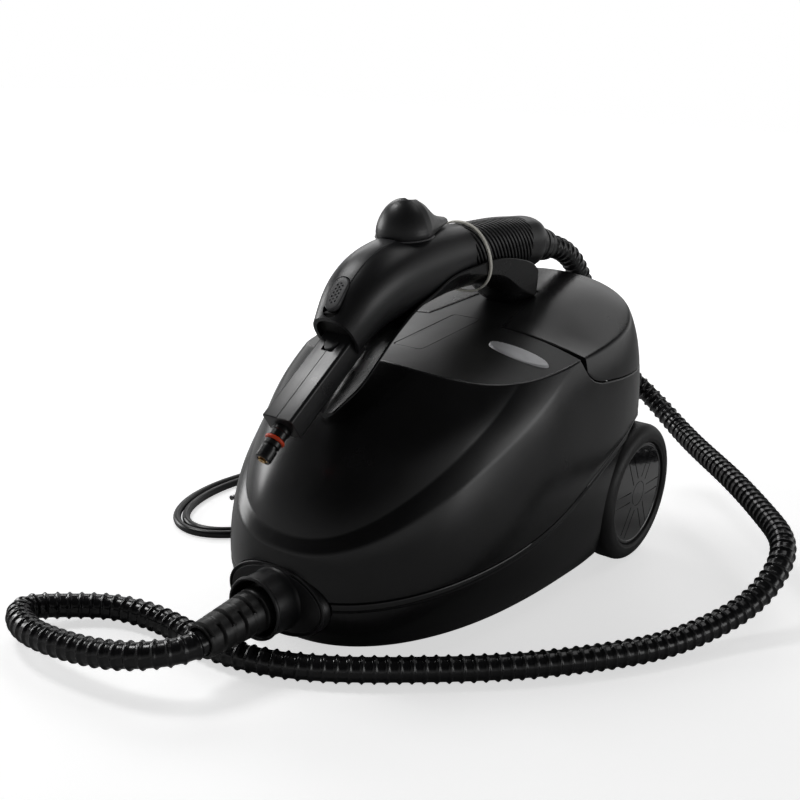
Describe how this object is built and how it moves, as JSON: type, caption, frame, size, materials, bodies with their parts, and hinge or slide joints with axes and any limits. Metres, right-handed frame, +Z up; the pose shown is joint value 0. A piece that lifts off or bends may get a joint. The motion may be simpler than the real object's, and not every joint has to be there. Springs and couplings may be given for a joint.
{
  "type": "canister steam cleaner",
  "caption": "Egg-shaped canister steam cleaner with a steam gun strapped on its carry handle, looped hose, coiled cord, big rear wheels and a front caster.",
  "frame": {"origin": "on the floor, below the middle of the overall footprint (hose and cord included)", "axes": "+Z up; -Y the way the hose outlet and the gun's tip point; +X the machine's left side when seen from behind, looking forward"},
  "size_m": [0.5469, 0.6692, 0.315],
  "materials": {
    "gloss_black": "high gloss with light wear",
    "satin_deck": "satin",
    "handle_black": "semi gloss",
    "flap_plastic": "satin",
    "steel": "brushed",
    "cap_black": "matte, ribbed",
    "seal_red": "satin",
    "lens_clear": "ribbed, silvery",
    "lamp_amber": "glossy",
    "flange_black": "semi gloss",
    "boot_rubber": "satin",
    "hose_black": "glossy, corrugated",
    "gun_gloss": "semi gloss",
    "spine_grey": "satin",
    "spout_satin": "satin",
    "seal_orange": "satin",
    "brass": "machined",
    "spring_steel": "bright",
    "band_white": "matte",
    "tyre_rubber": "matte with scuffs",
    "hub_black": "high gloss",
    "caster_grey": "satin",
    "boiler_steel": "brushed, heat tinted",
    "jacket_felt": "felted",
    "copper": "dull copper",
    "ceramic": "matt ceramic",
    "zinc": "dull zinc",
    "switch_red": "translucent gloss",
    "switch_black": "semi gloss",
    "cord_pvc": "satin",
    "plug_black": "satin"
  },
  "bodies": {
    "machine": {"base_shell": "gloss_black", "upper_shell": "gloss_black", "top_deck": "satin_deck", "rear_cover": "gloss_black", "carry_handle": "handle_black", "flap_hinge_pin": "steel", "lens_left": "lens_clear", "lens_right": "lens_clear", "indicator_lamps": "lamp_amber", "outlet_flange": "flange_black", "hose_boot": "boot_rubber", "steam_hose": "hose_black", "elastic_band": "band_white", "rear_axle": "steel", "axle_clips": "spring_steel", "boiler": "boiler_steel", "boiler_jacket": "jacket_felt", "boiler_brackets": "zinc", "heating_element": "copper", "thermostats": "ceramic", "pressure_switch": "zinc", "safety_valve": "brass", "solenoid_valve": "zinc", "steam_pipe": "copper", "switch_frame": "switch_black", "base_screws": "spring_steel", "cord_grommet": "boot_rubber", "power_cord": "cord_pvc", "plug_body": "plug_black", "plug_pins": "spring_steel"},
    "flap": {"filler_flap": "flap_plastic"},
    "boiler_cap": {"filler_cap": "cap_black", "cap_seal": "seal_red"},
    "left_wheel": {"tyre_left": "tyre_rubber", "wheel_hub_left": "hub_black", "hub_cap_left": "hub_black"},
    "right_wheel": {"tyre_right": "tyre_rubber", "wheel_hub_right": "hub_black", "hub_cap_right": "hub_black"},
    "caster": {"caster_fork": "caster_grey", "caster_axle": "steel"},
    "caster_roller": {"caster_wheel": "tyre_rubber"},
    "rocker": {"switch_rocker": "switch_red"},
    "gun": {"gun_shell_left": "gun_gloss", "gun_shell_right": "gun_gloss", "gun_spine": "spine_grey", "spout_housing": "spout_satin", "nozzle_spigot": "flange_black", "o_ring": "seal_orange", "brass_jet": "brass", "trigger_pin": "steel", "trigger_spring": "spring_steel", "gun_valve": "brass", "gun_steam_pipe": "copper", "gun_hose_boot": "boot_rubber", "gun_screws": "spring_steel"},
    "slider": {"steam_slider": "cap_black"},
    "knob": {"steam_knob": "gun_gloss"},
    "trigger": {"gun_trigger": "cap_black"},
    "lock": {"lock_button": "cap_black"}
  },
  "joints": [
    {"name": "flap_open", "type": "hinge", "parent": "machine", "child": "flap", "pos_m": [-0.011, -0.01167, 0.20882], "axis": [0, -0.9917, -0.1288], "range_deg": [0, 95]},
    {"name": "cap_turn", "type": "hinge", "parent": "machine", "child": "boiler_cap", "pos_m": [0, -0.012, 0.187], "axis": [0, 0, 1], "range_deg": [0, 120]},
    {"name": "left_wheel_spin", "type": "hinge", "parent": "machine", "child": "left_wheel", "pos_m": [0.11, 0.1395, 0.062], "axis": [1, 0, 0], "continuous": true},
    {"name": "right_wheel_spin", "type": "hinge", "parent": "machine", "child": "right_wheel", "pos_m": [-0.11, 0.1395, 0.062], "axis": [1, 0, 0], "continuous": true},
    {"name": "caster_swivel", "type": "hinge", "parent": "machine", "child": "caster", "pos_m": [0, -0.125, 0.05], "axis": [0, 0, 1], "continuous": true},
    {"name": "caster_spin", "type": "hinge", "parent": "caster", "child": "caster_roller", "pos_m": [0, -0.113, 0.016], "axis": [1, 0, 0], "continuous": true},
    {"name": "switch_rock", "type": "hinge", "parent": "machine", "child": "rocker", "pos_m": [0, 0.2034, 0.157], "axis": [1, 0, 0], "range_deg": [0, 14]},
    {"name": "gun_lift", "type": "slide", "parent": "machine", "child": "gun", "axis": [0, 0, 1], "range_m": [0, 0.12], "deforming": ["steam_hose", "elastic_band"]},
    {"name": "slider_slide", "type": "slide", "parent": "gun", "child": "slider", "axis": [0, -0.6428, -0.766], "range_m": [0, 0.004]},
    {"name": "knob_turn", "type": "hinge", "parent": "gun", "child": "knob", "pos_m": [0, -0.064, 0.2902], "axis": [0, -0.1045, 0.9945], "range_deg": [-35, 35]},
    {"name": "trigger_squeeze", "type": "hinge", "parent": "gun", "child": "trigger", "pos_m": [0, -0.06, 0.2435], "axis": [1, 0, 0], "range_deg": [0, 8], "deforming": ["trigger_spring"]},
    {"name": "lock_press", "type": "slide", "parent": "gun", "child": "lock", "axis": [0, 0.5934, -0.8049], "range_m": [0, 0.0015]}
  ]
}
